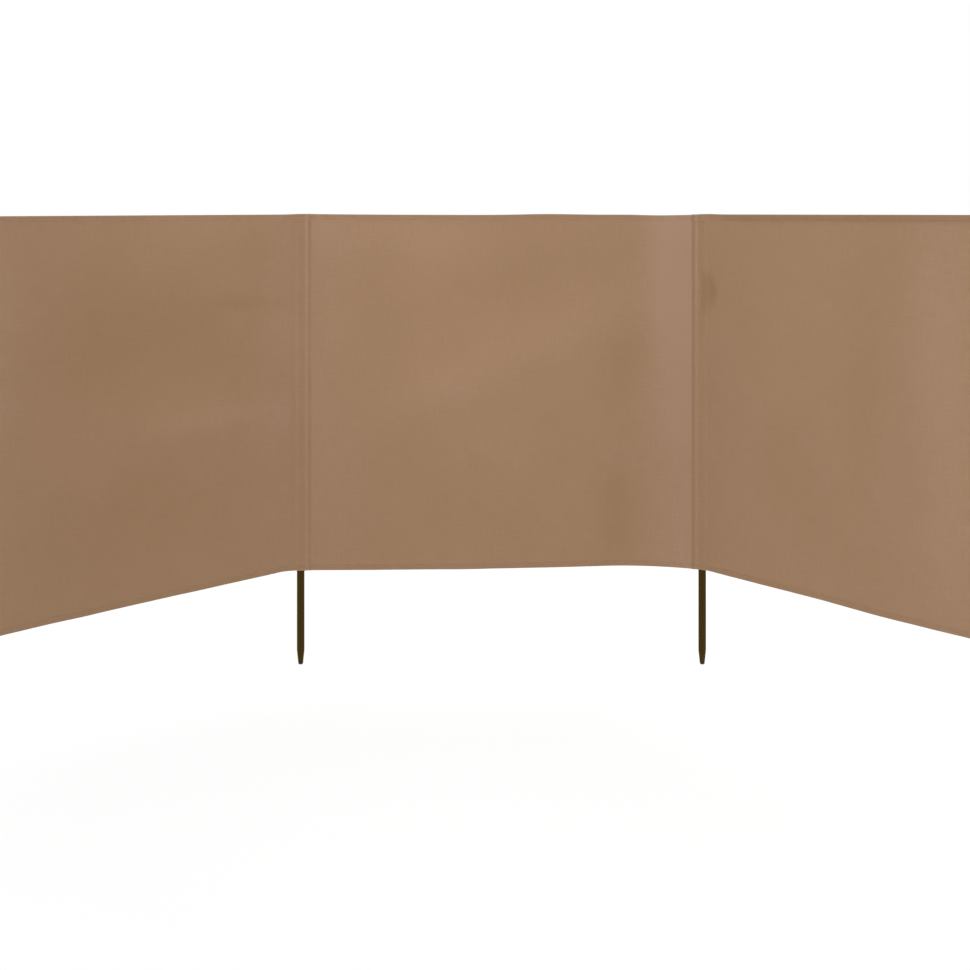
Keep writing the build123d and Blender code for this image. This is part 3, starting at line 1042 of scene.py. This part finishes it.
def make_sleeve(plan, seed, lower_edge, upper_edge):
    """A sleeve with its stitches."""
    opened, shut = sleeve_plans(plan)
    length = opened[0][-1]

    def from_front(along):
        return length - along if plan.from_left else along

    def sleeve_slack(along, up):
        front = from_front(along)
        back = length - front
        in_front = ease(front, length / 2 + LAP / 2, length / 2 - LAP / 2)
        sewn_front = ease(front, 2 * LAP, LAP)
        sewn_back = ease(back, 2 * LAP, LAP)
        lower = ease(up, 1.5 * hem_height, hem_height)
        upper = ease(up, cloth_height - 1.5 * hem_height, cloth_height - hem_height)
        loose = (1 - in_front) * (1 - sewn_back) * (1 - upper)
        flare = SLEEVE_HEM_FLARE * (1 - sewn_front) * (1 - sewn_back)
        return (
            SLEEVE_SLACK * loose * (1 + ripple(up + SLEEVE_RIPPLE_SLANT * along, SLEEVE_RIPPLE_PITCH, seed))
            + lower * (flare - FRONT_EDGE_BACK * sewn_front + BACK_EDGE_BACK * sewn_back)
            + upper * (BACK_EDGE_BACK * (1 - in_front) - FRONT_EDGE_BACK * in_front)
            + seam_puckers(front - LAP / 2, up, plan.near_seed) * sewn_front
            - seam_puckers(back - LAP / 2, up, plan.near_seed) * sewn_back
            - seam_dips(back - LAP / 2)
        )

    run = ClothRun(
        plan.from_left_to_right(opened),
        plan.from_left_to_right(shut),
        sleeve_slack,
        lambda along: lower_edge + 0 * along,
        lambda along: upper_edge + 0 * along,
    )
    stations = stations_between([
        (0.0, SEAM_STEP),
        (LAP + SLEEVE_FINE_MARGIN, SLEEVE_STEP),
        (length - LAP - SLEEVE_FINE_MARGIN, SEAM_STEP),
        (length, SEAM_STEP),
    ])
    sleeve = sheet_piece(
        f"{plan.name}_sleeve",
        run,
        stations,
        sleeve_profile,
        lambda along, up: 0 * (along + up),
    )
    seen = np.sort(from_front(np.array([HIDDEN_SHARE * length, length - SLEEVE_STITCH_MARGIN])))
    rows = hem_stitches(run, *seen, lower_rows + upper_rows, 1)
    rows += seam_stitches(run, from_front(length - LAP / 2), 1)
    stitches = stitch_piece(f"{plan.name}_sleeve_stitches", rows)
    for piece in (sleeve, stitches):
        plan.spread(piece)
    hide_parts(f"{plan.name}_pole_tunnel")


make_sleeve(left_plan, LEFT_SLEEVE_SEED, LOWER_EDGE_AT_LEFT, 0.0)
make_sleeve(right_plan, RIGHT_SLEEVE_SEED, LOWER_EDGE_AT_RIGHT, TOP_SAG_AT_RIGHT)

# Light and stage
# A plain white studio: soft light from all round, a small lamp close in front, a broad one behind to the
# right that shows how thin the cloth is, and a pale floor.
WORLD_LIGHT = 1.13
LAMPS = {
    "front_lamp": {"place": (0.2, -1.5, 1.4), "aim": (1.6, 0.0, 1.0), "size": 0.5, "power": 4.6},
    "back_lamp": {"place": (4.3, 3.2, 2.6), "aim": (1.6, -0.3, 0.9), "size": 2.0, "power": 150.0},
}
FLOOR_SIZE = 60.0
FLOOR_WHITE = (0.70, 0.70, 0.70, 1)
FLOOR_ROUGHNESS = 0.9
FLOOR_OWN_SHARE = 0.2  # of what the camera sees of the floor, so that a shadow stays
FLOOR_GLOW = 1.07


def seen_directly(shade):
    """1 for what the camera, a reflection or a clear surface shows, and 0 for what lights the object."""
    kinds = ("Camera", "Glossy", "Transmission")
    camera_ray, glossy_ray, clear_ray = [
        shade.node("ShaderNodeLightPath", output=f"Is {kind} Ray") for kind in kinds
    ]
    return shade.math("MINIMUM", camera_ray + glossy_ray + clear_ray, 1.0)


world = bpy.data.worlds.new("studio")
world.use_nodes = True
bpy.context.scene.world = world
background = world.node_tree.nodes["Background"]
background.inputs["Color"].default_value = (1, 1, 1, 1)
(WORLD_LIGHT + seen_directly(Shade(world.node_tree)) * (1 - WORLD_LIGHT)).into(background, "Strength")

floor_paint, shade, floor_shader = new_finish("floor_paint")
floor_shader.inputs["Base Color"].default_value = FLOOR_WHITE
floor_shader.inputs["Roughness"].default_value = FLOOR_ROUGHNESS
glow = shade.node("ShaderNodeEmission", inputs={"Color": (1, 1, 1, 1), "Strength": FLOOR_GLOW})
lit = Shade(shade.tree, floor_shader.outputs["BSDF"])
glow_share = seen_directly(shade) * (1 - FLOOR_OWN_SHARE)
floor_look = shade.node("ShaderNodeMixShader", inputs={"Fac": glow_share, 1: lit, 2: glow})
floor_look.into(shade.tree.nodes["Material Output"], "Surface")
floor_corners = np.array([(-1, -1, 0), (1, -1, 0), (1, 1, 0), (-1, 1, 0)]) * FLOOR_SIZE / 2
mesh_piece("floor", floor_corners, np.array([(0, 1, 2, 3)]), floor_paint)

for name, lamp in LAMPS.items():
    lamp_data = bpy.data.lights.new(name, "AREA")
    lamp_data.shape = "DISK"
    lamp_data.size = lamp["size"]
    lamp_data.energy = lamp["power"]
    lamp_object = bpy.data.objects.new(name, lamp_data)
    lamp_object.location = lamp["place"]
    aimed = Vector(lamp["aim"]) - Vector(lamp["place"])
    lamp_object.rotation_euler = aimed.to_track_quat("-Z", "Y").to_euler()
    bpy.context.scene.collection.objects.link(lamp_object)

bpy.context.scene.view_settings.view_transform = "Standard"
